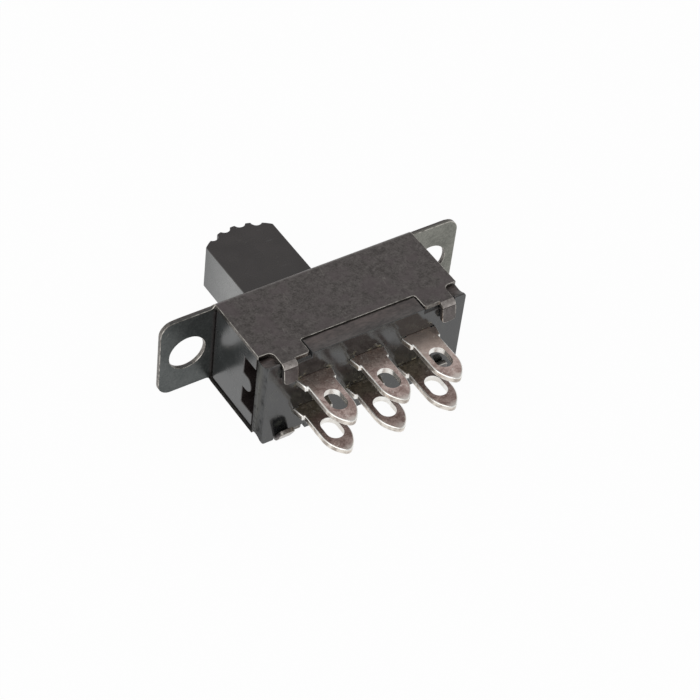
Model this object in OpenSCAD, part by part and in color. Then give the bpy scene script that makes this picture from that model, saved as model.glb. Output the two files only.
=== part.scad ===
// Slide switch for panel mounting: a folded steel frame, a black terminal board clinched into
// its open back, six solder terminals, and a knob with its carriage sliding inside.
//
// Frame of reference: +X runs along the switch, +Y from the panel towards the solder lugs, and
// +Z across the switch. The origin lies on the panel face, midway between the two ear holes.
// The knob is drawn at the +X end of its travel.

/* [Frame] */
// Length of the folded box
frame_len = 18.8; // [17.6:0.1:21]
// Width of the box over its two long walls
frame_w = 8.7; // [8.4:0.1:9.6]
// Depth from the panel face to the end corners of the walls
wall_depth = 7.0; // [6.8:0.1:8]
// Thickness of the steel sheet
sheet = 0.4; // [0.3:0.05:0.5]
// Inside radius of the long bends
bend_r = 0.2; // [0.1:0.05:0.3]
// Radius of the corners of the slot for the knob
slot_corner_r = 0.4; // [0.2:0.05:0.6]

/* [Ears] */
// Reach of each ear beyond the box
ear_reach = 4.9; // [4.5:0.1:7]
// Width of the ears
ear_w = 7.8; // [6.4:0.1:8]
// Radius of the corners of the ears
ear_corner_r = 1.2; // [0.4:0.1:2]
// Distance between the two panel holes
hole_pitch = 23.5; // [23:0.1:24.2]
// Diameter of the panel holes
hole_d = 3.3; // [2.4:0.1:3.5]

/* [Wall edges] */
// Length of the long recess in the edge of each wall
recess_len = 10.9; // [9:0.1:11.4]
// How far the recess dips below the end corners
recess_drop = 0.2; // [0.1:0.05:0.5]
// Radius of the recess and shoulder corners
recess_r = 0.25; // [0.1:0.05:0.4]
// Width of a clinch tab
tab_w = 1.3; // [0.9:0.1:1.5]
// Distance from the middle of a clinch tab to the end of the box
tab_inset = 1.89; // [1.7:0.01:2.1]
// Reach of a clinch tab over the board, from the outside of the wall
tab_fold = 1.95; // [1.5:0.05:2.2]
// How far the clinch tabs are folded over, in degrees
tab_angle = 80; // [70:1:90]
// How far the one slack tab is folded over, in degrees
slack_angle = 60; // [50:1:90]
// Inside radius of the fold of a clinch tab
tab_bend_r = 0.15; // [0.1:0.01:0.2]
// Radius of the hollow between a clinch tab and the end corner of the wall
hollow_r = 0.5; // [0.3:0.05:0.6]

/* [Terminal board] */
// Thickness of the slab that nests between the walls
slab_t = 1.35; // [1.1:0.05:1.6]
// Height of the lip above the shoulders of the walls
lip_t = 0.2; // [0.15:0.01:0.4]
// Radius of the cove under the four corners
cove_r = 1.0; // [0.8:0.05:1.2]
// Radius of the corners of the board
board_corner_r = 0.3; // [0.1:0.05:0.6]

/* [Terminals] */
// Spacing of the terminals along a row
lug_pitch = 5.0; // [4.6:0.1:5.2]
// Spacing of the two rows
row_pitch = 3.3; // [3.1:0.05:3.5]
// Thickness of the terminals
lug_t = 0.55; // [0.4:0.05:0.6]
// Width of a solder lug
lug_w = 2.5; // [2.2:0.1:2.8]
// Reach of a solder lug beyond the board
lug_reach = 5.85; // [5:0.05:7]
// Length of the pointed end of a lug
ogive_len = 2.1; // [1.7:0.1:2.4]
// Radius of the very tip of a lug
tip_r = 0.5; // [0.35:0.05:0.7]
// Width of the solder eyelet
eyelet_w = 1.5; // [1.2:0.05:1.6]
// Length of the solder eyelet
eyelet_len = 2.3; // [2:0.1:2.5]
// Distance from the middle of the eyelet to the tip of the lug
eyelet_back = 2.6; // [2.3:0.1:2.9]
// Width of the staking barb on each side of a lug
barb_w = 0.42; // [0.3:0.02:0.5]
// Width of the ledge where the barb ends
barb_ledge = 0.18; // [0.1:0.02:0.24]
// Length of the staking barb along the lug
barb_len = 1.1; // [0.7:0.05:1.3]
// Width of the head behind the board
head_w = 3.2; // [3:0.1:3.8]
// Length of the head along the terminal
head_len = 0.45; // [0.3:0.05:0.6]
// Width of the contact blade
blade_w = 1.6; // [1.4:0.1:2]
// Reach of the contact blade into the box, from the board
blade_reach = 1.8; // [1.5:0.1:2]

/* [Slider] */
// Travel between the two positions
travel = 4.4; // [4:0.1:5]
// Length of the knob along the travel
knob_len = 6.5; // [5.6:0.1:7]
// Width of the knob
knob_w = 4.4; // [3.6:0.1:4.6]
// Reach of the knob above the panel face, at the crown
knob_reach = 8.9; // [6:0.05:10]
// Height of the crown of the knob
crown = 1.25; // [0.6:0.05:1.6]
// Number of ridges across the knob
ridge_count = 5; // [3:1:7]
// Depth of the grooves between the ridges
groove_depth = 0.36; // [0.2:0.02:0.5]
// Radius of the bottom of the grooves
groove_r = 0.5; // [0.4:0.05:0.6]
// Height of the two channels that straddle the blades
channel_h = 1.75; // [1.65:0.05:1.85]
// How much lower the middle rib is than the sides of the carriage
rib_drop = 0.45; // [0.2:0.05:0.8]
// Radius of the front edges of the carriage
carriage_r = 0.35; // [0.3:0.05:0.6]

/* [Contact clips] */
// Thickness of the spring strip
clip_t = 0.2; // [0.15:0.01:0.24]
// Width of each pair of jaws
jaw_w = 1.6; // [1.2:0.1:2]
// Half width of a clip at its base
clip_half = 0.62; // [0.56:0.02:0.66]
// Depth of the pocket behind the channel
pocket_depth = 2.55; // [2:0.05:3]
// Distance from the end of the blades to the line where the jaws bite
bite_in = 0.55; // [0.4:0.05:0.7]
// How much the mouth of the jaws opens on each side
jaw_flare = 0.2; // [0.1:0.02:0.24]
// Height of the solid back of the clip, below the split between the jaws
clip_back = 0.9; // [0.6:0.1:1.4]

/* [Detent] */
// Diameter of the detent ball
ball_d = 0.9; // [0.8:0.05:1]
// Diameter of the two detent holes in the panel face
detent_hole_d = 0.7; // [0.5:0.05:0.75]
// Distance from the inside of the wall to the line of the detent
detent_edge = 0.8; // [0.75:0.05:0.85]
// Length of the detent spring
spring_len = 3.0; // [2.4:0.1:3.6]
// Diameter of the spring wire
spring_wire = 0.14; // [0.1:0.01:0.16]
// Number of turns of the spring
spring_turns = 7; // [5:1:9]

/* [Fits] */
// Gap between the carriage and the frame on each side
slide_gap = 0.1; // [0.05:0.01:0.15]
// Gap around the knob in its slot
knob_gap = 0.15; // [0.1:0.01:0.2]
// Gap between the carriage and the board
back_gap = 0.3; // [0.26:0.02:0.4]
// Gap between the end of the carriage and the end of the box at each limit
end_gap = 0.1; // [0:0.05:0.3]
// Gap between the end of the blades and the floor of the channels
floor_gap = 0.2; // [0.1:0.02:0.3]
// Gap between a jaw and the blade
jaw_gap = 0.05; // [0.03:0.01:0.06]
// Gap of the pieces that nest: board in frame, clip in pocket, terminal in slot
nest_gap = 0.05; // [0.03:0.01:0.08]
// Gap on each side of a clinch tab in its notch
tab_gap = 0.1; // [0.05:0.01:0.15]
// Gap around the ball in its bore, and between the ball and the panel face
ball_gap = 0.04; // [0.03:0.01:0.05]

/* [Hidden] */
$fn = 64;
eps = 0.01;
root = 0.1;                                  // how deep a fillet is let into its neighbours
trim = 0.03;                                 // what is left off the feather edge of a fillet

wall_in = frame_w / 2 - sheet;               // inner face of a long wall
board_front = wall_depth;
lip_front = board_front + slab_t;            // height of the shoulders of the walls
board_back = lip_front + lip_t;
recess_y = wall_depth - recess_drop;         // the flange of the board rests here
tab_x = frame_len / 2 - tab_inset;
tab_out = tab_x + tab_w / 2;
fold_y = board_back - tab_bend_r;            // middle of the fold of a clinch tab
fold_z = wall_in - tab_bend_r;
tab_run = fold_z - frame_w / 2 + tab_fold;   // straight part of a tab, beyond its fold
notch_in = fold_z - nest_gap;                // floor of a notch, clear of the fold
slab_half = wall_in - nest_gap;
lip_half = frame_w / 2 - nest_gap;
flange_half = recess_len / 2 - recess_r;     // clear of the rounded ends of the recess

slider_x = travel / 2;                       // the knob rests at the +X end of its travel
carriage_len = frame_len - travel - 2 * end_gap;
carriage_front = sheet + slide_gap;
carriage_back = wall_depth - back_gap;
carriage_half = wall_in - slide_gap;
channel_floor = wall_depth - blade_reach - floor_gap;
pocket_floor = channel_floor - pocket_depth;
slot_len = knob_len + travel + 2 * knob_gap;
slot_w = knob_w + 2 * knob_gap;
rib_w = row_pitch - channel_h;

tip_y = board_back + lug_reach;
clip_len = lug_pitch + jaw_w;
jaw_z = lug_t / 2 + jaw_gap + clip_t / 2;    // middle of a jaw, beside the blade

detent_z = wall_in - detent_edge;
ball_y = sheet + ball_gap + ball_d / 2;      // pressed in, as it is between its two holes
bore_d = ball_d + 2 * ball_gap;
spring_top = ball_y + ball_d / 2;
bore_floor = spring_top + spring_len;

// Extrudes a (Y, Z) section along X, centred on X = 0
module along_x(len) {
    rotate([90, 0, 90]) linear_extrude(len, center = true) children();
}

// Extrudes an (X, Z) outline towards +Y, from y0 to y1
module along_y(y0, y1) {
    translate([0, y1, 0]) rotate([90, 0, 0]) linear_extrude(y1 - y0) children();
}

// Extrudes an (X, Y) outline along Z, centred on Z = 0
module along_z(width) {
    linear_extrude(width, center = true) children();
}

module both_z() {
    children();
    mirror([0, 0, 1]) children();
}

module both_x() {
    children();
    mirror([1, 0, 0]) children();
}

// Rectangle centred on the origin, with true arcs at its corners
module round_rect(len, width, r) {
    square([len - 2 * r, width], center = true);
    square([len, width - 2 * r], center = true);
    for (sx = [-1, 1], sy = [-1, 1])
        translate([sx * (len / 2 - r), sy * (width / 2 - r)]) circle(r);
}

// (Y, Z) section with a flat back at y1 and two rounded edges at its front
module round_front(y0, y1, half, r) {
    translate([y0 + r, -half]) square([y1 - y0 - r, 2 * half]);
    translate([y0, r - half]) square([r + eps, 2 * (half - r)]);
    for (s = [-1, 1]) translate([y0 + r, s * (half - r)]) circle(r);
}

// ---------------------------------------------------------------- frame

// The sheet folded into a channel: its panel face at Y = 0 and a wall on each side
module channel_section() {
    difference() {
        round_front(0, lip_front, frame_w / 2, bend_r + sheet);
        round_front(sheet, lip_front + eps, wall_in, bend_r);
    }
}

// Side view of a wall: end corners, shoulders that carry the board, the long recess between
// them, and a hollow on the outer side of each clinch tab
module wall_outline() {
    shoulder_len = tab_out - recess_len / 2;
    difference() {
        union() {
            translate([-frame_len / 2, 0]) square([frame_len, wall_depth]);
            both_x_2d() {
                translate([tab_out - shoulder_len / 2, lip_front / 2])
                    round_rect(shoulder_len, lip_front, recess_r);
                difference() {
                    translate([tab_out - root, wall_depth - root]) square(root + hollow_r - trim);
                    translate([tab_out + hollow_r, wall_depth + hollow_r]) circle(hollow_r);
                }
            }
        }
        translate([0, recess_y + lip_front])
            round_rect(recess_len, 2 * lip_front, recess_r);
    }
}

module both_x_2d() {
    children();
    mirror([1, 0]) children();
}

// (Y, Z) section of a clinch tab: straight up out of the wall, then folded over the board
module tab_section(angle) {
    fold_outer = tab_bend_r + sheet;
    far = 2 * fold_outer;
    rest = 90 - angle;
    translate([recess_y, wall_in]) square([fold_y - recess_y, sheet]);
    translate([fold_y, fold_z]) {
        intersection() {
            difference() {
                circle(fold_outer);
                circle(tab_bend_r);
            }
            square(far);
            rotate(rest) square(far);
        }
        rotate(rest) translate([tab_bend_r, -tab_run]) square([sheet, tab_run]);
    }
}

// One clinch tab, with the corners of its free end rounded off
module clinch_tab(angle) {
    corner = tab_w / 4;
    translate([tab_x, 0, 0]) intersection() {
        along_x(tab_w) tab_section(angle);
        translate([0, fold_y, fold_z]) rotate([90 - angle, 0, 0])
            along_y(-2 * wall_depth, wall_depth)
                translate([0, frame_w - tab_run]) round_rect(tab_w, 2 * frame_w, corner);
    }
}

// Concave fillet where the edge of an ear runs into the bend
module ear_root() {
    flare = (frame_w - ear_w) / 2;
    intersection() {
        along_y(0, sheet) difference() {
            translate([frame_len / 2 - root, ear_w / 2 - root]) square(root + flare - trim);
            translate([frame_len / 2 + flare, ear_w / 2 + flare]) circle(flare);
        }
        along_x(2 * frame_len) round_front(0, wall_depth, frame_w / 2, bend_r + sheet);
    }
}

module frame() {
    color("#4b4642") difference() {
        union() {
            intersection() {
                along_x(frame_len) channel_section();
                along_z(frame_w) wall_outline();
            }
            along_y(0, sheet) round_rect(frame_len + 2 * ear_reach, ear_w, ear_corner_r);
            both_z() both_x() ear_root();
            both_x() clinch_tab(tab_angle);
            mirror([0, 0, 1]) {
                clinch_tab(slack_angle);
                mirror([1, 0, 0]) clinch_tab(tab_angle);
            }
        }
        along_y(-eps, sheet + eps) round_rect(slot_len, slot_w, slot_corner_r);
        for (s = [-1, 1]) {
            translate([s * hole_pitch / 2, sheet + eps, 0])
                rotate([90, 0, 0]) cylinder(h = sheet + 2 * eps, d = hole_d);
            translate([s * travel / 2, sheet + eps, detent_z])
                rotate([90, 0, 0]) cylinder(h = sheet + 2 * eps, d = detent_hole_d);
        }
    }
}

// ---------------------------------------------------------------- terminal board

// Back of the board: the full size of the box, cut back at the shoulders and the clinch tabs
module lip_outline() {
    notch_end = tab_out + tab_gap;
    difference() {
        round_rect(frame_len, 2 * lip_half, board_corner_r);
        for (sx = [-1, 1], sz = [-1, 1])
            translate([sx * (flange_half + notch_end) / 2, sz * (notch_in + sheet)])
                square([notch_end - flange_half, 2 * sheet], center = true);
    }
}

// Flange in the middle, which rests on the edges of the long recesses
module board_flange() {
    difference() {
        along_y(recess_y, lip_front + eps) square([2 * flange_half, 2 * lip_half], center = true);
        along_y(recess_y - eps, board_front) square([frame_len, 2 * wall_in], center = true);
    }
}

// Coves that flare out from the slab to its four corners, beyond the clinch tabs
module corner_coves() {
    start = tab_out + tab_gap;
    len = frame_len / 2 - start;
    over = cove_r - lip_half + slab_half;
    cove_y = lip_front - sqrt(cove_r * cove_r - over * over);
    intersection() {
        both_z() both_x() translate([start + len / 2, 0, 0]) along_x(len) difference() {
            translate([cove_y, slab_half - eps])
                square([lip_front - cove_y + eps, lip_half - slab_half + eps]);
            translate([cove_y, slab_half + cove_r]) circle(cove_r);
        }
        along_y(board_front, board_back) round_rect(frame_len, 2 * lip_half, board_corner_r);
    }
}

module terminal_board() {
    color("#17181b") difference() {
        union() {
            along_y(board_front, lip_front + eps) square([frame_len, 2 * notch_in], center = true);
            along_y(board_front, lip_front) square([frame_len, 2 * slab_half], center = true);
            along_y(lip_front, board_back) lip_outline();
            board_flange();
            corner_coves();
        }
        for (place = terminal_places())
            translate([place.x, (board_front + board_back) / 2, place.y])
                cube([lug_w + 2 * nest_gap, 2 * (board_back - board_front),
                      lug_t + 2 * nest_gap], center = true);
    }
}

// ---------------------------------------------------------------- terminals

// (X, Z) of the terminals, three to a row
function terminal_places() =
    [for (row = [1, -1], i = [1, 0, -1]) [i * lug_pitch, row * row_pitch / 2]];

// Pointed end of a lug: two side arcs that run into a small round tip
module ogive() {
    half = lug_w / 2;
    start_y = tip_y - ogive_len;
    side_r = (half * half + ogive_len * ogive_len - 2 * ogive_len * tip_r) / (2 * (half - tip_r));
    tip_cy = tip_y - tip_r;
    join_y = tip_cy + tip_r * (tip_cy - start_y) / (side_r - tip_r);
    intersection() {
        side_arcs(side_r - half, start_y, side_r);
        translate([-half, start_y - eps]) square([lug_w, join_y - start_y + eps]);
    }
    translate([0, tip_cy]) circle(tip_r);
}

// Lens between two equal arcs that bow out to either side
module side_arcs(shift, y, r) {
    intersection() {
        translate([shift, y]) circle(r, $fn = 180);
        translate([-shift, y]) circle(r, $fn = 180);
    }
}

module eyelet() {
    half_run = (eyelet_len - eyelet_w) / 2;
    translate([0, tip_y - eyelet_back]) {
        square([eyelet_w, 2 * half_run], center = true);
        for (s = [-1, 1]) translate([0, s * half_run]) circle(eyelet_w / 2);
    }
}

// Flat blank of a terminal: blade, head, shank through the board, barbs, lug and eyelet
module terminal_outline() {
    blade_end = board_front - blade_reach;
    lead = blade_w / 5;
    difference() {
        union() {
            translate([-blade_w / 2, blade_end + lead]) square([blade_w, blade_reach - lead]);
            polygon([[-blade_w / 2, blade_end + lead + eps], [-blade_w / 2, blade_end + lead],
                     [lead - blade_w / 2, blade_end], [blade_w / 2 - lead, blade_end],
                     [blade_w / 2, blade_end + lead], [blade_w / 2, blade_end + lead + eps]]);
            translate([-head_w / 2, board_front - head_len]) square([head_w, head_len]);
            translate([-lug_w / 2, board_front - eps])
                square([lug_w, tip_y - ogive_len - board_front + 2 * eps]);
            polygon([[-lug_w / 2 - barb_w, board_back], [lug_w / 2 + barb_w, board_back],
                     [lug_w / 2 + barb_ledge, board_back + barb_len],
                     [-lug_w / 2 - barb_ledge, board_back + barb_len]]);
            ogive();
        }
        eyelet();
    }
}

module terminal(index) {
    place = terminal_places()[index];
    color("#8d8177") translate([place.x, 0, place.y]) along_z(lug_t) terminal_outline();
}

// ---------------------------------------------------------------- slider

// (X, Y) outline of the knob: a crowned block with a row of grooves cut across the crown
module knob_outline() {
    half = knob_len / 2;
    crown_r = (half * half + crown * crown) / (2 * crown);
    crown_cy = crown_r - knob_reach;
    step = 2 * asin(half / crown_r) / ridge_count;
    difference() {
        intersection() {
            translate([-half, -knob_reach]) square([knob_len, knob_reach + carriage_front + eps]);
            union() {
                translate([0, crown_cy]) circle(crown_r, $fn = 180);
                translate([-half, crown - knob_reach]) square([knob_len, 2 * knob_reach]);
            }
        }
        for (i = [1 : ridge_count - 1])
            translate([0, crown_cy]) rotate(step * (i - ridge_count / 2))
                translate([0, groove_depth - crown_r - groove_r]) circle(groove_r);
    }
}

// (Y, Z) section of the carriage: a channel for each row of blades, and a round-nosed rib
module carriage_section() {
    nose_r = rib_w / 2;
    difference() {
        round_front(carriage_front, carriage_back, carriage_half, carriage_r);
        for (s = [-1, 1])
            translate([channel_floor, s * row_pitch / 2 - channel_h / 2])
                square([carriage_back - channel_floor + eps, channel_h]);
        translate([carriage_back - rib_drop - nose_r, 0]) difference() {
            translate([0, -nose_r - eps]) square([rib_drop + nose_r + eps, rib_w + 2 * eps]);
            circle(nose_r);
        }
    }
}

module slider() {
    pocket_size = [clip_len + 2 * nest_gap, pocket_depth + eps, 2 * (clip_half + nest_gap)];
    color("#2c2c2e") translate([slider_x, 0, 0]) difference() {
        union() {
            along_x(carriage_len) carriage_section();
            along_z(knob_w) knob_outline();
        }
        for (s = [-1, 1])
            translate([-pocket_size.x / 2, pocket_floor, s * row_pitch / 2 - pocket_size.z / 2])
                cube(pocket_size);
        translate([0, bore_floor, detent_z])
            rotate([90, 0, 0]) cylinder(h = bore_floor, d = bore_d);
    }
}

// ---------------------------------------------------------------- contact clips

// Closed outline of a strip of even thickness that follows a path, with mitred corners
function unit(v) = v / norm(v);
function left_of(v) = [-v.y, v.x];
function path_dir(path, i) = unit(path[min(i + 1, len(path) - 1)] - path[min(i, len(path) - 2)]);
function mitre(path, i) =
    let (before = left_of(path_dir(path, max(i - 1, 0))), after = left_of(path_dir(path, i)))
    (before + after) / (1 + before * after);
function strip(path, t) = concat(
    [for (i = [0 : len(path) - 1]) path[i] + mitre(path, i) * t / 2],
    [for (i = [len(path) - 1 : -1 : 0]) path[i] - mitre(path, i) * t / 2]);

// (Y, Z) section of a clip: a flat back, arms that close onto the blade, and flared mouths
module clip_section() {
    back_y = pocket_floor + clip_t / 2;
    side_z = clip_half - clip_t / 2;
    jaw_y = board_front - blade_reach + bite_in;
    mouth_y = carriage_back - rib_drop;
    arm = [[back_y, side_z], [jaw_y, jaw_z], [mouth_y, jaw_z + jaw_flare]];
    mirrored = [for (i = [len(arm) - 1 : -1 : 0]) [arm[i].x, -arm[i].y]];
    polygon(strip(concat(mirrored, arm), clip_t));
}

module contact_clip(row) {
    split_len = clip_len - 2 * jaw_w;
    color("#b98f55") translate([slider_x, 0, row * row_pitch / 2]) difference() {
        along_x(clip_len) clip_section();
        translate([-split_len / 2, pocket_floor + clip_back, -row_pitch / 2])
            cube([split_len, wall_depth, row_pitch]);
    }
}

// ---------------------------------------------------------------- detent

module detent_ball() {
    color("#c3c6ca") translate([slider_x, ball_y, detent_z]) sphere(d = ball_d);
}

// Corners of the wire along the coil, ring after ring
sides = 8;
rings_per_turn = 12;
coil_rings = rings_per_turn * spring_turns;
function coil_point(k, j) =
    let (turn = 360 * k / rings_per_turn, side = 360 * j / sides,
         coil_r = (ball_d - spring_wire) / 2, reach = coil_r + spring_wire / 2 * cos(side))
    [reach * cos(turn),
     spring_wire / 2 * (1 + sin(side)) + (spring_len - spring_wire) * k / coil_rings,
     reach * sin(turn)];

module detent_spring() {
    points = [for (k = [0 : coil_rings], j = [0 : sides - 1]) coil_point(k, j)];
    skin = [for (k = [0 : coil_rings - 1], j = [0 : sides - 1])
        let (next = (j + 1) % sides)
        [k * sides + j, (k + 1) * sides + j, (k + 1) * sides + next, k * sides + next]];
    first_cap = [[for (j = [0 : sides - 1]) j]];
    last_cap = [[for (j = [sides - 1 : -1 : 0]) coil_rings * sides + j]];
    color("#9da1a6") translate([slider_x, spring_top, detent_z])
        polyhedron(points, concat(skin, first_cap, last_cap));
}

frame();
terminal_board();
terminal(0);  // terminal_1
terminal(1);  // terminal_2
terminal(2);  // terminal_3
terminal(3);  // terminal_4
terminal(4);  // terminal_5
terminal(5);  // terminal_6
slider();
contact_clip(1);  // contact_clip_1
contact_clip(-1);  // contact_clip_2
detent_ball();
detent_spring();
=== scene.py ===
# %% [markdown]
# # Dressing a slide switch
# The solids of the switch come from the CAD model and stay where they are. This lesson gives
# them the looks of the real parts: softened sheet-metal edges, a blackened steel finish,
# tarnished solder lugs, a polished laminate board and a glossy plastic knob.
#
# We start by loading the CAD model as a fixed frame. Its box is kept, so that at the end we can
# check that the dressed model is still the same size.

# %% Load the solids
import math

import bmesh
import bpy
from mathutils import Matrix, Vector
from mathutils.bvhtree import BVHTree


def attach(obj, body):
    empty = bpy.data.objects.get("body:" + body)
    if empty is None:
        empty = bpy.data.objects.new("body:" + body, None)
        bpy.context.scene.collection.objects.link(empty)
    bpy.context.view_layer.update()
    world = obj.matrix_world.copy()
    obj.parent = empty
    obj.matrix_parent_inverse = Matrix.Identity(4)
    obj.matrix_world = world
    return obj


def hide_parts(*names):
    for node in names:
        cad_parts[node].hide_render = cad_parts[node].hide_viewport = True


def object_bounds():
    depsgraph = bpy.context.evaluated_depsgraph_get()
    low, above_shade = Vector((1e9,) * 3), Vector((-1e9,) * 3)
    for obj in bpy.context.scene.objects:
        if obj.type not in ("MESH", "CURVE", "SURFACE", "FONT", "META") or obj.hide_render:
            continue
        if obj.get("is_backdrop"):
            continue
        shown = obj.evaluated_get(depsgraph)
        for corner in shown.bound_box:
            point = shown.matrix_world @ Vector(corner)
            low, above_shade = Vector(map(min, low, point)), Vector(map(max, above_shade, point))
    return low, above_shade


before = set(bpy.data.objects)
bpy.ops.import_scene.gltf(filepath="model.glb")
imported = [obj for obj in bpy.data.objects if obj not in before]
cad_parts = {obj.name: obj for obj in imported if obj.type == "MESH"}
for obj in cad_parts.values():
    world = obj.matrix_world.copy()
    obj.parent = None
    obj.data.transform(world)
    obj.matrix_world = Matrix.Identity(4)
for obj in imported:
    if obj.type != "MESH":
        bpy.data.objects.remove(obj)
cad_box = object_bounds()
MM = 0.001
size = (cad_box[1] - cad_box[0]) / MM
print(f"CAD box: {size.x:.2f} x {size.y:.2f} x {size.z:.2f} mm")

# %% [markdown]
# ## The camera
# A small object is best shown from far away with a long lens, because then its parallel edges
# stay nearly parallel. The camera looks down on the solder side, turned a little about its own
# axis. It could be placed by hand, but an angle round the object, a height and a distance are
# easier to read and to change, so a short function turns them into a place and a rotation.

# %% Place the camera
AIM = Vector((-0.55, 5.65, -0.72)) * MM
CAMERA_AZIMUTH = math.radians(142.0)
CAMERA_ELEVATION = math.radians(44.9)
CAMERA_ROLL = math.radians(7.5)
CAMERA_DISTANCE = 192.1 * MM
CAMERA_LENS = 121.2
NEAREST_SEEN = 5 * MM
FARTHEST_SEEN = 5.0


def looking_from(azimuth, elevation):
    """The direction from the object to a viewer. Azimuth 0 stands on the -Y side."""
    level = math.cos(elevation)
    return Vector(
        (math.sin(azimuth) * level, -math.cos(azimuth) * level, math.sin(elevation))
    )


def add_camera():
    data = bpy.data.cameras.new("camera")
    data.lens = CAMERA_LENS
    data.clip_start = NEAREST_SEEN
    data.clip_end = FARTHEST_SEEN
    camera = bpy.data.objects.new("camera", data)
    bpy.context.scene.collection.objects.link(camera)
    towards = looking_from(CAMERA_AZIMUTH, CAMERA_ELEVATION)
    camera.location = AIM + towards * CAMERA_DISTANCE
    camera.rotation_euler = (-towards).to_track_quat("-Z", "Y").to_euler()
    camera.rotation_euler.rotate_axis("Z", CAMERA_ROLL)
    bpy.context.scene.camera = camera
    return camera


camera = add_camera()
print("camera stands", round((camera.location - AIM).length / MM), "mm from the switch")

# %% [markdown]
# ## Writing shaders as expressions
# A material is a graph of nodes. Drawn by hand it soon becomes a knot, so here it is written in
# Python. `Signal` wraps the output of a node, and arithmetic on a signal adds the Math node
# that does it, also where the number comes first, as in `1 - mask`.

# %% Signals
class Signal:
    """An output of a shader node, which can stand in an expression."""

    def __init__(self, finish, socket):
        self.finish = finish
        self.socket = socket

    def _math(self, operation, *values):
        return self.finish.node("Math", {"operation": operation}, dict(enumerate(values)))

    def __add__(self, other):
        return self._math("ADD", self, other)

    def __radd__(self, other):
        return self._math("ADD", other, self)

    def __sub__(self, other):
        return self._math("SUBTRACT", self, other)

    def __rsub__(self, other):
        return self._math("SUBTRACT", other, self)

    def __mul__(self, other):
        return self._math("MULTIPLY", self, other)

    def __rmul__(self, other):
        return self._math("MULTIPLY", other, self)

    def __abs__(self):
        return self._math("ABSOLUTE", self)

    def at_least(self, other):
        """The larger of the two."""
        return self._math("MAXIMUM", self, other)


print("signals can be added, subtracted, multiplied and compared")

# %% [markdown]
# `Finish` holds the graph of one material. Every node that isn't arithmetic comes from its one
# method, `node`, which takes the node's type, its settings and what goes into its sockets. What
# goes into a socket is a value or a signal, and a signal becomes a link.

# %% Finishes
class Finish:
    """The shader of one material, or of the surroundings."""

    def __init__(self, owner, output="ShaderNodeOutputMaterial"):
        self.owner = owner
        owner.use_nodes = True
        self.tree = owner.node_tree
        self.tree.nodes.clear()
        self.output = self.tree.nodes.new(output)

    def node(self, kind, settings=None, inputs=None, output=0):
        """Adds a node, sets it up, connects it, and gives one of its outputs."""
        made = self.tree.nodes.new("ShaderNode" + kind)
        for key, value in (settings or {}).items():
            setattr(made, key, value)
        for key, value in (inputs or {}).items():
            if isinstance(value, Signal):
                self.tree.links.new(value.socket, made.inputs[key])
            else:
                made.inputs[key].default_value = value
        return Signal(self, made.outputs[output])

    def surface(self, shader):
        """Ends the graph, says how large it is, and gives its owner."""
        self.tree.links.new(shader.socket, self.output.inputs["Surface"])
        print(self.owner.name, "has", len(self.tree.nodes), "nodes")
        return self.owner


def new_finish(name):
    return Finish(bpy.data.materials.new(name))


print(len(bpy.data.materials), "plain materials came with the solids")

# %% [markdown]
# ## Patterns that every finish uses
# The object is only a few centimetres long, so textures are easiest to size in millimetres: the
# place on the surface is scaled once, and a noise of scale 5 then has grains of a fifth of a
# millimetre. `mapped` stretches a signal from one range to another, `mixed` blends two colours.
# Colours stay out of the arithmetic, because a Math node would turn them grey.

# %% Places, noise and blends
def place_mm(finish):
    """The place on the part, in millimetres, which moves with the part."""
    coords = finish.node("TexCoord", output="Object")
    return finish.node(
        "VectorMath", {"operation": "SCALE"}, {0: coords, "Scale": 1 / MM}
    )


def coordinate(finish, place, axis):
    """How far the place lies along X, Y or Z."""
    return finish.node("SeparateXYZ", {}, {0: place}, output=axis)


def stretched(finish, place, factors):
    """The place for a noise whose grains are long in the directions with small factors."""
    return finish.node("VectorMath", {"operation": "MULTIPLY"}, {0: place, 1: factors})


def noise(finish, place, scale, detail=3.0, roughness=0.55, distortion=0.0):
    return finish.node(
        "TexNoise",
        {},
        {
            "Vector": place,
            "Scale": scale,
            "Detail": detail,
            "Roughness": roughness,
            "Distortion": distortion,
        },
    )


def mapped(finish, value, low, above_shade, to_low=0.0, to_high=1.0):
    """Goes from to_low to to_high while the value goes from low to high."""
    return finish.node(
        "MapRange",
        {"interpolation_type": "SMOOTHSTEP"},
        {
            "Value": value,
            "From Min": low,
            "From Max": above_shade,
            "To Min": to_low,
            "To Max": to_high,
        },
    )


def mixed(finish, factor, first, second):
    """The first colour where the factor is 0, the second where it is 1."""

    def colour(value):
        return value if isinstance(value, Signal) else (*value, 1)

    inputs = {0: factor, 6: colour(first), 7: colour(second)}
    return finish.node("Mix", {"data_type": "RGBA"}, inputs, output=2)


def bumped(finish, height, distance_mm, strength, normal=None):
    """Tilts the normal by the height, on top of the normal that is given."""
    inputs = {"Height": height, "Distance": distance_mm * MM, "Strength": strength}
    if normal is not None:
        inputs["Normal"] = normal
    return finish.node("Bump", {}, inputs)


print("a place is multiplied by", round(1 / MM), "to give millimetres")

# %% [markdown]
# ## Softening the solids
# A CAD solid has edges of no width at all, and nothing real has. Light on a real edge runs
# along a small round. A Bevel modifier could round the edges, but code can pick them one by
# one, and can give the new faces a finish of their own. The rounding only takes material away,
# so the size stays that of the solid. Now and then a corner between very short edges shoots out
# of the solid. Such a corner is put back on it, and every corner is kept inside the solid's
# box.

# %% Round the edges and put stray corners back
SHARP = math.radians(28)
ASTRAY = 1.1


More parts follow.
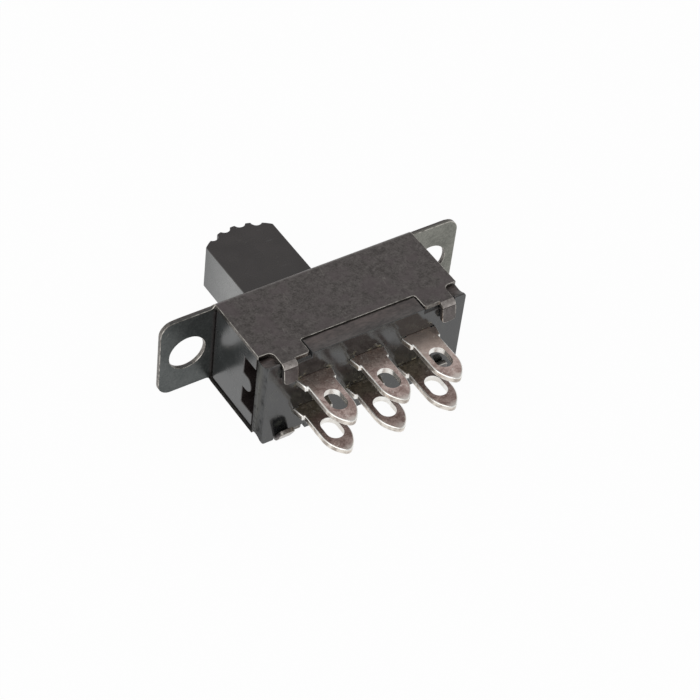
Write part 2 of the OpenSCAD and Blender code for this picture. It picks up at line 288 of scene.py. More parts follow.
def round_edges(shape, radius_mm, segments, material, wanted):
    """Rounds those sharp edges whose middle, in millimetres, is wanted."""
    edges = [
        e
        for e in shape.edges
        if e.is_manifold
        and e.calc_face_angle() > SHARP
        and wanted((e.verts[0].co + e.verts[1].co) / 2 / MM)
    ]
    bmesh.ops.bevel(
        shape,
        geom=edges,
        offset=radius_mm * MM,
        offset_type="OFFSET",
        segments=segments,
        profile=0.5,
        affect="EDGES",
        clamp_overlap=False,
        material=material,
    )


def put_back(shape, solid, low, above_shade, reach):
    """Moves corners that lie out of reach back onto the solid, and all into its box."""
    for vert in shape.verts:
        nearest, _, _, distance = solid.find_nearest(vert.co)
        if distance > reach:
            vert.co = nearest
        vert.co = Vector(min(max(vert.co[i], low[i]), above_shade[i]) for i in range(3))


print("edges sharper than", round(math.degrees(SHARP)), "degrees become round")

# %% [markdown]
# Each visible part becomes a new mesh: a copy of the solid with its triangles joined back into
# flat faces, its faces sorted by finish, and its sharp edges rounded. The new piece rides on
# the body that carries the part, and is shown in place of the solid. Normals weighed by the
# size of the faces keep the flats flat, and leave all the turning to the narrow rounds.

# %% From a solid to a softened piece
FLAT = math.radians(1.0)
SMOOTH = math.radians(40)


def softened(
    node,
    radius_mm,
    finishes,
    sort_face,
    segments=2,
    join_mm=0.0005,
    body="housing",
    crisp=lambda middle: False,
    reshape=None,
):
    """Shows a CAD node as a piece with rounded edges and a finish for each face.

    sort_face picks a finish from a face's normal and middle; the last finish is for the rounds.
    Edges that crisp picks are left as they are. reshape moves the corners before all else.
    """
    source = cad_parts[node]
    shape = bmesh.new()
    shape.from_mesh(source.data)
    bmesh.ops.remove_doubles(shape, verts=shape.verts, dist=join_mm * MM)
    if reshape:
        for vert in shape.verts:
            vert.co = reshape(vert.co / MM) * MM
    solid = BVHTree.FromBMesh(shape)
    low = [min(vert.co[i] for vert in shape.verts) for i in range(3)]
    above_shade = [max(vert.co[i] for vert in shape.verts) for i in range(3)]
    bmesh.ops.dissolve_limit(
        shape, angle_limit=FLAT, verts=shape.verts, edges=shape.edges
    )
    shape.normal_update()
    for face in shape.faces:
        face.material_index = sort_face(face.normal, face.calc_center_median() / MM)
    round_edges(shape, radius_mm, segments, len(finishes) - 1, lambda m: not crisp(m))
    put_back(shape, solid, low, above_shade, ASTRAY * radius_mm * MM)
    mesh = bpy.data.meshes.new(node + "_piece")
    shape.to_mesh(mesh)
    shape.free()
    for material in finishes:
        mesh.materials.append(material)
    mesh.shade_smooth()
    mesh.set_sharp_from_angle(angle=SMOOTH)
    piece = bpy.data.objects.new(node + "_piece", mesh)
    bpy.context.scene.collection.objects.link(piece)
    piece.modifiers.new("even_light", "WEIGHTED_NORMAL").keep_sharp = True
    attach(piece, body)
    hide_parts(node)
    print(node, "has", len(mesh.polygons), "faces")


print("there are", len(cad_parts), "solids to dress")

# %% [markdown]
# ## Blackened steel
# The frame is punched from sheet steel, folded and blackened. Its flat faces are brown-grey
# with a fine grain, violet clouds and a few hair-thin rubs. On their backs, the ear at the +X
# end is colder and darker than the box, and the other ear is paler. A painted texture could
# show it all, but noises of several grain sizes, weighed together, stay crisp from near and
# have no seams.

# %% The rolled faces
BROWN_GREY = (0.082, 0.073, 0.070), (0.182, 0.166, 0.159)
VIOLET = (0.128, 0.106, 0.110)
COLD_EAR = (0.074, 0.081, 0.080), (0.128, 0.136, 0.133)
PALE_EAR = (0.140, 0.142, 0.124), (0.262, 0.262, 0.232)
SCRATCHED = (0.30, 0.28, 0.26)
SCRATCH_WIDTH = 0.012
# Where the look of the ears takes over, in millimetres along X and Y.
EAR_ROOT = (9.3, 9.7)
EAR_BACK = (0.1, 0.35)


def rubs(finish, place, direction, scale):
    """A mask of thin scratches: where a stretched noise crosses its middle value."""
    level = noise(finish, stretched(finish, place, direction), scale, detail=1.0)
    broken = mapped(finish, noise(finish, place, 0.8, detail=2.0), 0.54, 0.64)
    return mapped(finish, abs(level - 0.5), 0.0, SCRATCH_WIDTH, 1.0, 0.0) * broken


def blackened_steel():
    finish = new_finish("blackened_steel")
    place = place_mm(finish)
    along = coordinate(finish, place, "X")
    back = mapped(finish, coordinate(finish, place, "Y"), *EAR_BACK)
    grain = noise(finish, place, 6.5, detail=4.0, roughness=0.75)
    speck = noise(finish, place, 2.4, detail=2.0)
    cloud = noise(finish, place, 0.5, detail=4.0, roughness=0.65)
    tone = mapped(finish, 0.5 * grain + 0.3 * speck + 0.2 * cloud, 0.36, 0.64)
    colour = mixed(finish, tone, *BROWN_GREY)
    colour = mixed(finish, 0.6 * mapped(finish, cloud, 0.46, 0.64), colour, VIOLET)
    ear_tone = mapped(finish, 0.6 * grain + 0.4 * cloud, 0.36, 0.64)
    cold_ear = mixed(finish, ear_tone, *COLD_EAR)
    pale_ear = mixed(finish, ear_tone, *PALE_EAR)
    colour = mixed(finish, back * mapped(finish, along, *EAR_ROOT), colour, cold_ear)
    colour = mixed(finish, back * mapped(finish, -1 * along, *EAR_ROOT), colour, pale_ear)
    scratch = rubs(finish, place, (1.0, 0.12, 0.12), 1.2)
    shader = finish.node(
        "BsdfPrincipled",
        {},
        {
            "Base Color": mixed(finish, 0.35 * scratch, colour, SCRATCHED),
            "Metallic": 0.9,
            "Roughness": mapped(finish, grain, 0.3, 0.7, 0.30, 0.42),
            "Normal": bumped(finish, 0.6 * grain + 0.4 * speck, 0.010, 0.6),
        },
    )
    return finish.surface(shader)


rolled_steel = blackened_steel()

# %% [markdown]
# The sheared edges of the sheet and the bends of its clinch tabs are the same steel. At the cut
# the coat is thin and streaky, and on the bends it is rubbed through to a soft shine, which its
# lighter colour turns into a painted highlight. Two finishes with fewer noises are enough,
# because the faces that wear them are narrow.

# %% The sheared edges and the bends
THIN_COAT = (0.10, 0.092, 0.085), (0.26, 0.242, 0.222)
RUBBED_COAT_AND_HIGHLIGHT = (0.26, 0.235, 0.222), (0.46, 0.425, 0.402)


def sheared_steel():
    finish = new_finish("sheared_steel")
    place = place_mm(finish)
    streak = noise(finish, place, 6.0, detail=3.0)
    patch = noise(finish, place, 1.1, detail=2.0)
    tone = mapped(finish, 0.6 * streak + 0.4 * patch, 0.35, 0.65)
    shader = finish.node(
        "BsdfPrincipled",
        {},
        {
            "Base Color": mixed(finish, tone, *THIN_COAT),
            "Metallic": 0.95,
            "Roughness": mapped(finish, patch, 0.3, 0.7, 0.28, 0.42),
            "Normal": bumped(finish, streak, 0.01, 0.5),
        },
    )
    return finish.surface(shader)


# The bends: a rubbed coat, whose lighter colour is also a painted highlight.
def rubbed_and_highlit_bend():
    finish = new_finish("rubbed_and_highlit_bend")
    place = place_mm(finish)
    grain = noise(finish, place, 5.0, detail=3.0)
    patch = noise(finish, place, 1.3, detail=2.0)
    rub_and_highlight = mapped(finish, 0.4 * grain + 0.6 * patch, 0.34, 0.66)
    shader = finish.node(
        "BsdfPrincipled",
        {},
        {
            "Base Color": mixed(finish, rub_and_highlight, *RUBBED_COAT_AND_HIGHLIGHT),
            "Metallic": 0.95,
            "Roughness": mapped(finish, grain, 0.3, 0.7, 0.22, 0.32),
            "Normal": bumped(finish, grain, 0.006, 0.4),
        },
    )
    return finish.surface(shader)


cut_steel = sheared_steel()
highlit_bent_steel = rubbed_and_highlit_bend()

# %% [markdown]
# Where two faces of the frame meet, handling has worn a line of bare metal, which patches of
# coat interrupt. Low on the box the line is painted black as shade, and so are the cut ends of
# the lower wall, whose painted shade is also quite dull. The line needs no mesh of its own: it
# is the finish that the rounds of the frame get.

# %% The worn edges and the shaded edges
DULL_METAL = (0.17, 0.155, 0.142)
BARE_METAL = (0.62, 0.59, 0.54)
SHADED_LINE = (0.020, 0.019, 0.017)
# Painted shade for the cut ends of the lower wall.
EDGE_SHADE = (0.010, 0.010, 0.009), (0.032, 0.030, 0.026)
# Where these looks begin and end, in millimetres along Z, Z and Y.
SHADED_BELOW = (-3.5, -2.8)
DIMMED_BELOW = (-4.2, -3.2)
UNSHADED_BEYOND = (7.5, 8.1)


def worn_line():
    """Bare metal broken by patches of coat, but black as painted shade low on the box, short of
    the board.
    """
    finish = new_finish("worn_line")
    place = place_mm(finish)
    depth = coordinate(finish, place, "Y")
    height = coordinate(finish, place, "Z")
    # Painted shade low on the box: the line turns black there, and its wear is dimmed.
    above_shade = mapped(finish, height, *SHADED_BELOW)
    unshaded = above_shade.at_least(mapped(finish, depth, *UNSHADED_BEYOND))
    patch = noise(finish, place, 1.8, detail=4.0, roughness=0.6)
    wear = mapped(finish, patch, 0.34, 0.64)
    wear = wear * mapped(finish, height, *DIMMED_BELOW, 0.1, 1.0)
    metal = mixed(finish, wear, DULL_METAL, BARE_METAL)
    shader = finish.node(
        "BsdfPrincipled",
        {},
        {
            "Base Color": mixed(finish, unshaded, SHADED_LINE, metal),
            "Metallic": unshaded,
            "IOR": 1.1,
            "Roughness": mapped(finish, wear, 0.0, 1.0, 0.40, 0.24),
        },
    )
    return finish.surface(shader)


def shaded_edge():
    """The cut ends of the lower wall, painted black as shade, and quite dull."""
    finish = new_finish("shaded_edge")
    patch = noise(finish, place_mm(finish), 2.0, detail=3.0)
    tone = mapped(finish, patch, 0.36, 0.64)
    shader = finish.node(
        "BsdfPrincipled",
        {},
        {
            "Base Color": mixed(finish, tone, *EDGE_SHADE),
            "IOR": 1.08,
            "Roughness": mapped(finish, patch, 0.3, 0.7, 0.5, 0.7),
            "Normal": bumped(finish, patch, 0.02, 0.6),
        },
    )
    return finish.surface(shader)


FRAME_FINISHES = [rolled_steel, cut_steel, highlit_bent_steel, shaded_edge(), worn_line()]

# %% [markdown]
# ## The frame
# The frame is one folded sheet: a panel plate with two ears, two long walls, and four clinch
# tabs that hold the board. A face's direction and place tell what it was in the press: a rolled
# face, a sheared edge or a bend. That sorts the finishes by rule, where picking faces by hand
# would have to be done again after each change of the CAD model. Corners closer together than
# the facet step are joined first, because the facets of a tight fold are too narrow to take a
# round.

# %% The frame
ROLLED, SHEARED, RUBBED_AND_HIGHLIT, SHADED_END = range(4)
# How much of a normal points along an axis, from 0 to 1.
SQUARE_ON = 0.9
MAINLY = 0.6
PARTLY = 0.3
SLIGHTLY = 0.2
# Places on the frame, in millimetres.
WALL_INSIDE = 3.95
WALL_BACK = 6.0
TAB_BEND = 7.9
TAB_FOLD = 8.4
FRAME_HALF = 9.3
INNER_EDGE = (3.9, 4.0)
PANEL_SEAM = (3.8, 3.95)
PANEL_FRONT = 0.03


def between(value, limits):
    return limits[0] < value < limits[1]


def frame_face(normal, centre):
    """The finish of a face of the frame, as its place in FRAME_FINISHES."""
    end_face = abs(normal.x) > PARTLY
    wall_edge = normal.y > SQUARE_ON and WALL_BACK < centre.y < TAB_FOLD
    tab_inside = normal.z * centre.z < 0 and abs(normal.z) > MAINLY
    tab_end = centre.y > TAB_FOLD and tab_inside
    oblique = min(abs(normal.y), abs(normal.z)) > SLIGHTLY
    # The cut ends of the lower wall, short of the tab bends, get painted shade.
    if end_face and centre.z < -WALL_INSIDE:
        return SHADED_END if centre.y < TAB_BEND else ROLLED
    if end_face or wall_edge or tab_end:
        return SHEARED
    # Tab bends get the rubbed coat with its painted highlight.
    return RUBBED_AND_HIGHLIT if oblique and centre.y > TAB_BEND else ROLLED


def unworn(middle):
    """The inner edges of the walls at the board, and the seam of the panel with its bends."""
    inside = middle.y > WALL_BACK and between(abs(middle.z), INNER_EDGE)
    on_panel = middle.y < PANEL_FRONT and abs(middle.x) < FRAME_HALF
    return inside or (on_panel and between(abs(middle.z), PANEL_SEAM))


FRAME_ROUND = 0.045
FACET_STEP = 0.035
softened(
    "frame", FRAME_ROUND, FRAME_FINISHES, frame_face, join_mm=FACET_STEP, crisp=unworn
)

# %% [markdown]
# ## The polished laminate
# The board is a black laminate. Its back is polished like glass, with dust, finger smears, and
# a crust of flux at the foot of the lugs. The flux needs to know where the lugs are. A mask
# could be painted, but the lugs stand in two even rows, so a lug wrapped over the whole row
# gives them all.

# %% The back of the board
# The lugs' rows and feet, in millimetres.
LUG_PITCH = 5.0
ROW_HALF = 1.65
LUG_HALF = (1.25, 0.275)
FLUX_REACH = 0.9
ROW_END = (6.6, 7.4)
BLACK_GLOSS = (0.012, 0.013, 0.014)
DUST = (0.09, 0.088, 0.075)
SMEAR = (0.060, 0.062, 0.050)
FLUX = (0.250, 0.220, 0.135)


def near_lugs(finish, place):
    """1 at the foot of a lug, falling to 0 about a millimetre away from it."""

    def outside(distance, half):
        return (distance - half).at_least(0.0)

    across = coordinate(finish, place, "X")
    up = coordinate(finish, place, "Z")
    wrap = {0: across, 1: LUG_PITCH / 2, 2: -LUG_PITCH / 2}
    column = finish.node("Math", {"operation": "WRAP"}, wrap)
    off_row = abs(abs(up) - ROW_HALF)
    gap = outside(abs(column), LUG_HALF[0]) + outside(off_row, LUG_HALF[1])
    ends = mapped(finish, abs(across), *ROW_END, 1.0, 0.0)
    return mapped(finish, gap, 0.0, FLUX_REACH, 1.0, 0.0) * ends


def polished_laminate():
    finish = new_finish("polished_laminate")
    place = place_mm(finish)
    wave = noise(finish, place, 0.35, detail=2.0)
    dust = mapped(finish, noise(finish, place, 9.0, detail=2.0), 0.60, 0.72)
    smear = noise(finish, place, 1.2, detail=4.0, roughness=0.65)
    smear = mapped(finish, smear, 0.50, 0.70)
    lump = noise(finish, place, 2.6, detail=4.0, roughness=0.65)
    patch = mapped(finish, noise(finish, place, 0.8, detail=1.0), 0.44, 0.56)
    crust = near_lugs(finish, place) * mapped(finish, lump, 0.50, 0.60) * patch
    colour = mixed(finish, 0.5 * dust, BLACK_GLOSS, DUST)
    colour = mixed(finish, 0.4 * smear, colour, SMEAR)
    uneven = bumped(finish, wave, 0.06, 0.35)
    shader = finish.node(
        "BsdfPrincipled",
        {},
        {
            "Base Color": mixed(finish, 0.8 * crust, colour, FLUX),
            "IOR": 1.75,
            "Roughness": mapped(finish, wave + 0.3 * smear, 0.40, 0.85, 0.12, 0.30),
            "Normal": bumped(finish, crust * lump, 0.15, 0.8, normal=uneven),
        },
    )
    return finish.surface(shader)


polished_back = polished_laminate()

# %% [markdown]
# The sides of the board are cut, so the layers show: they are dull and brown, with dirt caught
# in the cut, and painted shade darkens the seam where the board meets the wall. The two ends
# are dirtier than the long sides, and darker towards the bottom. One function makes both, with
# what differs given to it. The painted shade has no gloss at all, so it is a plain diffuse
# shader that a mask mixes in.

# %% The cut sides of the board
SIDE_LAYERS = (0.072, 0.055, 0.051), (0.068, 0.058, 0.055)
END_LAYERS = (0.054, 0.053, 0.045), (0.037, 0.038, 0.039)
DIRT = (0.006, 0.006, 0.006)
SEAM_SHADE_COLOUR = (0.012, 0.011, 0.010, 1)
# Where these looks begin and end, in millimetres along Y, Y and Z.
LAYER_CHANGE = (7.7, 8.5)
SHADE_AT_SEAM = (6.98, 7.16)
DARKER_BELOW = (-3.0, 0.8)


def cut_laminate(name, layers, dirt_and_darkening, ior):
    """A cut side. The layers are the colours to the front and to the back."""
    finish = new_finish(name)
    place = place_mm(finish)
    depth = coordinate(finish, place, "Y")
    height = coordinate(finish, place, "Z")
    fibre = noise(finish, stretched(finish, place, (1.0, 3.0, 1.0)), 2.2, detail=4.0)
    patch = noise(finish, place, 0.9, detail=3.0)
    dirt = noise(finish, place, 1.5, detail=4.0, roughness=0.7)
    dirt = mapped(finish, dirt, 0.50, 0.72)
    layer = mapped(finish, depth + 0.5 * patch, *LAYER_CHANGE)
    # Painted shade: the seam where the board meets the wall is dark.
    seam_shade_mask = mapped(finish, depth + 0.15 * fibre, *SHADE_AT_SEAM, 0.95, 0.0)
    tone = mapped(finish, 0.6 * fibre + 0.4 * patch, 0.34, 0.66, 0.5, 1.4)
    # Darker towards the bottom, most on the two ends.
    tone = tone * (1 - dirt_and_darkening * mapped(finish, height + patch, *DARKER_BELOW, 1.0, 0.0))
    toned = {0: mixed(finish, layer, *layers), "Scale": tone}
    colour = finish.node("VectorMath", {"operation": "SCALE"}, toned)
    shader = finish.node(
        "BsdfPrincipled",
        {},
        {
            "Base Color": mixed(finish, dirt_and_darkening * dirt, colour, DIRT),
            "IOR": ior,
            "Roughness": mapped(finish, fibre + dirt_and_darkening * dirt, 0.3, 1.1, 0.34, 0.75),
            "Normal": bumped(finish, fibre - dirt_and_darkening * dirt, 0.03, 0.6),
        },
    )
    seam_shade = finish.node("BsdfDiffuse", {}, {"Color": SEAM_SHADE_COLOUR})
    return finish.surface(finish.node("MixShader", {}, {0: seam_shade_mask, 1: shader, 2: seam_shade}))


BOARD_FINISHES = [
    polished_back,
    cut_laminate("cut_side", SIDE_LAYERS, dirt_and_darkening=0.1, ior=1.6),
    cut_laminate("cut_end", END_LAYERS, dirt_and_darkening=0.7, ior=1.3),
    polished_back,
]

# %% [markdown]
# ## The board
# The real board is clinched tight against the walls. The CAD board has a small clearance there,
# and light would shine through it. So the piece that is shown is a trace wider at its front
# edge, and its rim is a trace longer, to fill the recesses in the walls. Its front edges stay
# crisp, because a round there would open the same gap again.

# %% The board
# Places and lengths on the board, in millimetres.
FLANGE_HALF = 5.2
FLANGE_FILL = 0.12
SLAB_HALF = 3.9
BOARD_FRONT = 7.0
BOARD_ROUND = 0.05
MATCH = 0.01
POLISHED, CUT_SIDE, CUT_END = range(3)
MOSTLY = 0.7


def board_face(normal, centre):
    """The finish of a face of the board, as its place in BOARD_FINISHES."""
    if abs(normal.y) > SQUARE_ON:
        return POLISHED
    return CUT_END if abs(normal.x) > MOSTLY else CUT_SIDE


def closer_board(place):
    """The rim of the board fills its recesses, and its front edge meets the walls."""
    if abs(abs(place.x) - FLANGE_HALF) < MATCH:
        place.x += math.copysign(FLANGE_FILL, place.x)
    if place.y < BOARD_FRONT + MATCH and abs(abs(place.z) - SLAB_HALF) < MATCH:
        place.z = math.copysign(WALL_INSIDE, place.z)
    return place


softened(
    "terminal_board",
    BOARD_ROUND,
    BOARD_FINISHES,
    board_face,
    crisp=lambda middle: middle.y < BOARD_FRONT + BOARD_ROUND,
    reshape=closer_board,
)

# %% [markdown]
# ## Tarnished tin
# The terminals are brass with a thin coat of tin. On top it has tarnished in pinkish brown
# blotches, greener at the foot, where the flux was. Bright tin is left in specks and at the
# tips. One lug of the upper row is cleaner than the others, and the lower row is darkened a
# little with painted shade. All this depends on where on the switch a lug stands, so one finish
# serves all six.

# %% The rolled faces of the lugs
PINK = (0.36, 0.250, 0.225), (0.76, 0.610, 0.560)
OLIVE = (0.26, 0.225, 0.170), (0.62, 0.565, 0.46)
CLEAN_TIN = (0.86, 0.72, 0.64)
SHADE = (0.05, 0.04, 0.03)
WHITE_TIN = (0.90, 0.85, 0.79)
# Where these looks begin and end, in millimetres along Z, X and then Y.
BETWEEN_ROWS = (-0.5, 0.5)
CLEANER_LUG = (-3.6, -3.4)
FOOT = (10.6, 12.4)
CLEAN_LENGTH = (10.6, 13.2)
TIP = (14.0, 14.6)


def tarnished_tin():
    finish = new_finish("tarnished_tin")
    place = place_mm(finish)
    across, reach, height = (coordinate(finish, place, axis) for axis in "XYZ")
    upper = mapped(finish, height, *BETWEEN_ROWS)
    blotch = noise(finish, place, 1.1, detail=4.0, roughness=0.6, distortion=0.6)
    grain = noise(finish, place, 7.0, detail=3.0, roughness=0.65)
    hue = noise(finish, place, 0.6, detail=2.0, distortion=0.4)
    stain = mapped(finish, 0.6 * blotch + 0.4 * grain, 0.38, 0.62)
    foot = mapped(finish, reach + 2.5 * hue, *FOOT, 1.0, 0.0)
    foot = foot * mapped(finish, height, *BETWEEN_ROWS, 1.0, 0.3)
    colour = mixed(finish, foot, mixed(finish, stain, *PINK), mixed(finish, stain, *OLIVE))
    clean = mapped(finish, across, *CLEANER_LUG, 0.6, 0.0) * upper
    clean = clean * mapped(finish, reach, *CLEAN_LENGTH, 1.0, 0.1)
    colour = mixed(finish, clean, colour, CLEAN_TIN)
    # Painted shade on the lower row.
    shaded = mapped(finish, height, *BETWEEN_ROWS, 0.14, 0.0)
    colour = mixed(finish, shaded, colour, SHADE)
    bright = mapped(finish, noise(finish, place, 3.2, detail=2.0), 0.63, 0.72)
    left = bright.at_least(mapped(finish, reach + 0.6 * blotch, *TIP))
    shader = finish.node(
        "BsdfPrincipled",
        {},
        {
            "Base Color": mixed(finish, 0.7 * left, colour, WHITE_TIN),
            "Metallic": 0.95,
            "Roughness": mapped(finish, blotch, 0.3, 0.7, 0.46, 0.26),
            "Normal": bumped(finish, 0.6 * blotch + 0.4 * grain, 0.018, 0.7),
        },
    )
    return finish.surface(shader)


lug_tin = tarnished_tin()

# %% [markdown]
# ## The terminals
# Each terminal is a flat stamping with a pointed lug and an oblong eyelet. The sheared edge
# stays silvery, and the wall of the eyelet and the rounds are brightest. The rim of the eyelet
# is left crisp: its wall is made of many short edges, which a round of this size would tangle.

# %% The terminals
CUT_TIN = (0.40, 0.35, 0.31), (0.80, 0.75, 0.68)
NEW_TIN = (0.82, 0.79, 0.74), (0.96, 0.95, 0.92)
EYELET = (10.5, 13.1)
EYELET_HALF = 0.8
LUG_TOP, LUG_EDGE, EYELET_WALL = range(3)
LUG_ROUND = 0.09


def sheared_tin(name, colours):
    finish = new_finish(name)
    patch = noise(finish, place_mm(finish), 1.3, detail=3.0)
    shader = finish.node(
        "BsdfPrincipled",
        {},
        {
            "Base Color": mixed(finish, mapped(finish, patch, 0.38, 0.62), *colours),
            "Metallic": 0.95,
            "Roughness": mapped(finish, patch, 0.3, 0.7, 0.34, 0.24),
            "Normal": bumped(finish, patch, 0.008, 0.4),
        },
    )
    return finish.surface(shader)


def in_eyelet(place):
    off_centre = abs((place.x + LUG_PITCH / 2) % LUG_PITCH - LUG_PITCH / 2)
    return between(place.y, EYELET) and off_centre < EYELET_HALF


def terminal_face(normal, centre):
    """The finish of a face of a terminal, as its place in TERMINAL_FINISHES."""
    if abs(normal.z) > SQUARE_ON:
        return LUG_TOP
    return EYELET_WALL if in_eyelet(centre) else LUG_EDGE


bright_tin = sheared_tin("bright_tin", NEW_TIN)
TERMINAL_FINISHES = [lug_tin, sheared_tin("sheared_tin", CUT_TIN), bright_tin, bright_tin]
for i in range(1, 7):
    softened(
        f"terminal_{i}",
        LUG_ROUND,
        TERMINAL_FINISHES,
        terminal_face,
        segments=3,
        crisp=in_eyelet,
    )

# %% [markdown]
# ## Black plastic
# The slider is one black moulding with a soft gloss. Near the frame the knob is painted paler
# as painted light, most on the faces at the ends of the travel, which are a cooler, glossier
# copy of the plastic. Plastic is no metal, so its colour stays dark and its shine comes from
# the index of refraction, which can be raised a little for a harder gloss.

# %% The plastic
WARM = (0.017, 0.0128, 0.0122), (0.030, 0.0235, 0.0225)
COLD = (0.0120, 0.0135, 0.0138), (0.0220, 0.0240, 0.0245)
WARM_PAINTED_LIGHT = (0.026, 0.021, 0.020)
COLD_PAINTED_LIGHT = (0.248, 0.251, 0.246)
EDGE_PAINTED_LIGHT = (0.050, 0.047, 0.040)
PALE_SCRATCH = (0.10, 0.10, 0.10)
# Where the painted light begins and ends, in millimetres along Y.
PAINTED_LIGHT_STARTS = (-9.5, -1.0)
PAINTED_LIGHT_ENDS = (0.0, 0.5)


def glossy_plastic(name, colours, painted_light, ior):
    """Black plastic. The pale colour given to it is painted light on the knob near the frame.
    """
    finish = new_finish(name)
    place = place_mm(finish)
    depth = coordinate(finish, place, "Y")
    spark = noise(finish, place, 9.0, detail=2.0)
    cloud = noise(finish, place, 0.5, detail=2.0)
    scratch = rubs(finish, place, (0.15, 1.0, 0.15), 1.5)
    tone = mapped(finish, 0.5 * cloud + 0.5 * spark, 0.35, 0.65)
    near = mapped(finish, depth, *PAINTED_LIGHT_STARTS) * mapped(finish, depth, *PAINTED_LIGHT_ENDS, 1.0, 0.0)
    # Painted light: paler near the frame, most on the lit end faces.
    light_mask = near * mapped(finish, cloud, 0.2, 0.7, 0.6, 1.0)
    colour = mixed(finish, light_mask, mixed(finish, tone, *colours), painted_light)
    shader = finish.node(
        "BsdfPrincipled",
        {},
        {
            "Base Color": mixed(finish, 0.3 * scratch, colour, PALE_SCRATCH),
            "IOR": ior,
            "Roughness": mapped(finish, cloud, 0.3, 0.7, 0.20, 0.30),
            "Normal": bumped(finish, spark, 0.006, 0.4),
        },
    )
    return finish.surface(shader)


# The cold copy is for the end faces, which carry the brightest painted light.
SLIDER_FINISHES = [
    glossy_plastic("warm_plastic", WARM, WARM_PAINTED_LIGHT, ior=1.62),
    glossy_plastic("cold_plastic", COLD, COLD_PAINTED_LIGHT, ior=1.82),
    glossy_plastic("plastic_edge", WARM, EDGE_PAINTED_LIGHT, ior=1.7),
]

# %% [markdown]
# ## The slider
# The knob and the carriage inside the frame are one piece, so they share one mesh, which rides
# on the body that slides. All that the slider shows moves with it, because its textures are
# measured on the part and not in the room.

# %% The slider
WARM_FACE, COLD_FACE = range(2)
SLIDER_ROUND = 0.07


def slider_face(normal, centre):
    """Cold for the faces at the ends of the travel, warm for all others."""
    return COLD_FACE if abs(normal.x) > SQUARE_ON else WARM_FACE


softened(
    "slider", SLIDER_ROUND, SLIDER_FINISHES, slider_face, join_mm=FACET_STEP, body="slide"
)

# %% [markdown]
# ## The pieces inside
# Two contact clips of spring bronze join the terminals, and a steel ball on a spring makes the
# knob snap. They are almost out of sight, so their solids are kept as they are, and only their
# materials change. A noise stretched along the travel gives them the fine grain of rolled
# metal.

# %% The clips, the ball and the spring
BRONZE = (0.42, 0.26, 0.10), (0.62, 0.42, 0.20)
STEEL = (0.50, 0.51, 0.52), (0.66, 0.66, 0.67)


def spring_metal(name, colours, rough):
    finish = new_finish(name)
    place = place_mm(finish)
    rolling = noise(finish, stretched(finish, place, (0.3, 1.0, 1.0)), 9.0, detail=3.0)
    shader = finish.node(
        "BsdfPrincipled",
        {},
        {
            "Base Color": mixed(finish, mapped(finish, rolling, 0.3, 0.7), *colours),
            "Metallic": 1.0,
            "Roughness": mapped(finish, rolling, 0.3, 0.7, rough, rough + 0.12),
            "Normal": bumped(finish, rolling, 0.008, 0.4),
        },
    )
    return finish.surface(shader)


spring_bronze = spring_metal("spring_bronze", BRONZE, 0.22)
bright_steel = spring_metal("bright_steel", STEEL, 0.14)
for name in ("contact_clip_1", "contact_clip_2"):
    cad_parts[name].data.materials[0] = spring_bronze
for name in ("detent_ball", "detent_spring"):
    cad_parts[name].data.materials[0] = bright_steel

# %% [markdown]
# ## The floor
# The switch lies on one wall on a plain white floor. The floor gives off part of its own light,
# so that it reads as white without bright lamps on the object, and takes the rest from the
# lamps, so that the shadow stays. Light Path tells which rays see that glow: those of the
# camera and of mirror-like reflections.

# %% The floor
FLOOR_WHITE = (0.9, 0.9, 0.9, 1)
GLOW_WHITE = (1, 1, 1, 1)
FLOOR_SIZE = 3.0
FLOOR_GAP = 0.02


def glow_seen(finish, camera, mirrored):
    """How much of a surface's own glow each kind of ray sees. Bounced light sees none."""
    straight, glossy, through = (
        finish.node("LightPath", output=f"Is {kind} Ray")
        for kind in ("Camera", "Glossy", "Transmission")
    )
    return (camera * straight).at_least(mirrored * glossy.at_least(through))


def white_floor():
    finish = new_finish("white_floor")
    matt = finish.node("BsdfDiffuse", {}, {"Color": FLOOR_WHITE})
    glow = finish.node("Emission", {}, {"Color": GLOW_WHITE, "Strength": 1.0})
    seen = glow_seen(finish, camera=0.96, mirrored=0.8)
    return finish.surface(finish.node("MixShader", {}, {0: seen, 1: matt, 2: glow}))


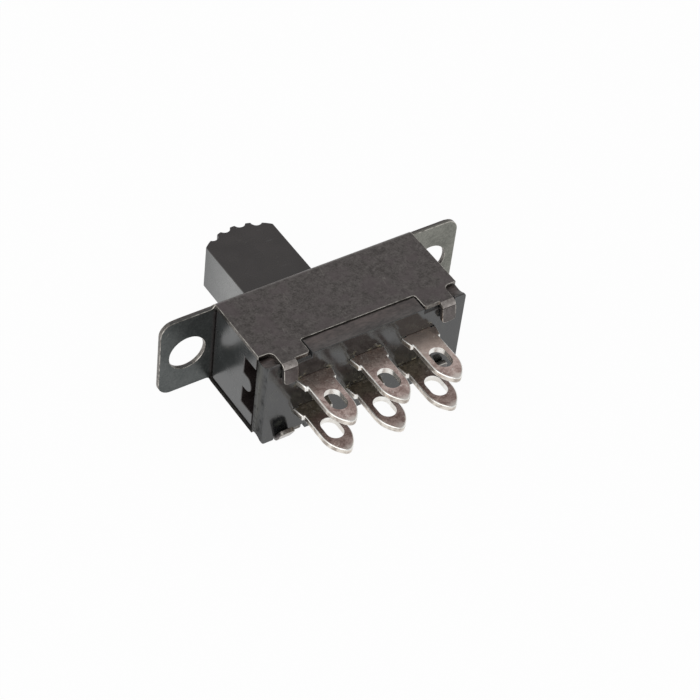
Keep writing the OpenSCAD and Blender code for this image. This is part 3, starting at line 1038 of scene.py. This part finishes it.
floor_mesh = bpy.data.meshes.new("floor")
half = FLOOR_SIZE / 2
floor_mesh.from_pydata(
    [(-half, -half, 0), (half, -half, 0), (half, half, 0), (-half, half, 0)],
    [],
    [(0, 1, 2, 3)],
)
floor_mesh.materials.append(white_floor())
floor = bpy.data.objects.new("floor", floor_mesh)
floor.location.z = cad_box[0].z - FLOOR_GAP * MM
bpy.context.scene.collection.objects.link(floor)
floor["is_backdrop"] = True

# %% [markdown]
# ## The light
# The light comes from a bright dome and from one wide panel off the +X end, for soft shadows.
# The panel is placed as the camera was, by an angle, a height and a distance. The dome is white
# at the horizon and to the camera, but dimmer overhead, so that faces that look up don't turn
# pale.

# %% The lamp and the surroundings
DIMMING = (0.1, 0.8)
OVERHEAD = 0.64


def add_panel(name, azimuth, elevation, distance, width, power):
    """A square lamp that faces the switch."""
    data = bpy.data.lights.new(name, "AREA")
    data.size = width
    data.energy = power
    lamp = bpy.data.objects.new(name, data)
    towards = looking_from(math.radians(azimuth), math.radians(elevation))
    lamp.location = towards * distance
    lamp.visible_camera = False
    lamp.rotation_euler = (-towards).to_track_quat("-Z", "Y").to_euler()
    bpy.context.scene.collection.objects.link(lamp)
    print(name, "gives", power, "W from", distance, "m")


def white_surroundings():
    world = bpy.data.worlds.new("surroundings")
    bpy.context.scene.world = world
    finish = Finish(world, "ShaderNodeOutputWorld")
    direction = finish.node("TexCoord", output="Generated")
    height = coordinate(finish, direction, "Z")
    camera_ray = finish.node("LightPath", output="Is Camera Ray")
    dome = mapped(finish, height, *DIMMING, 1.0, OVERHEAD)
    strength = dome + camera_ray * (1 - dome)
    finish.surface(finish.node("Background", {}, {"Strength": strength}))


add_panel("key", azimuth=105, elevation=28, distance=0.9, width=1.0, power=4.0)
white_surroundings()
bpy.context.scene.view_settings.view_transform = "Standard"

# %% [markdown]
# ## The same size as before
# The last step measures the dressed model against the CAD box.

# %% Measure and finish
seen_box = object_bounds()
growth = [(seen_box[1] - seen_box[0])[i] / MM - size[i] for i in range(3)]
print("growth in mm:", [round(g, 3) for g in growth])
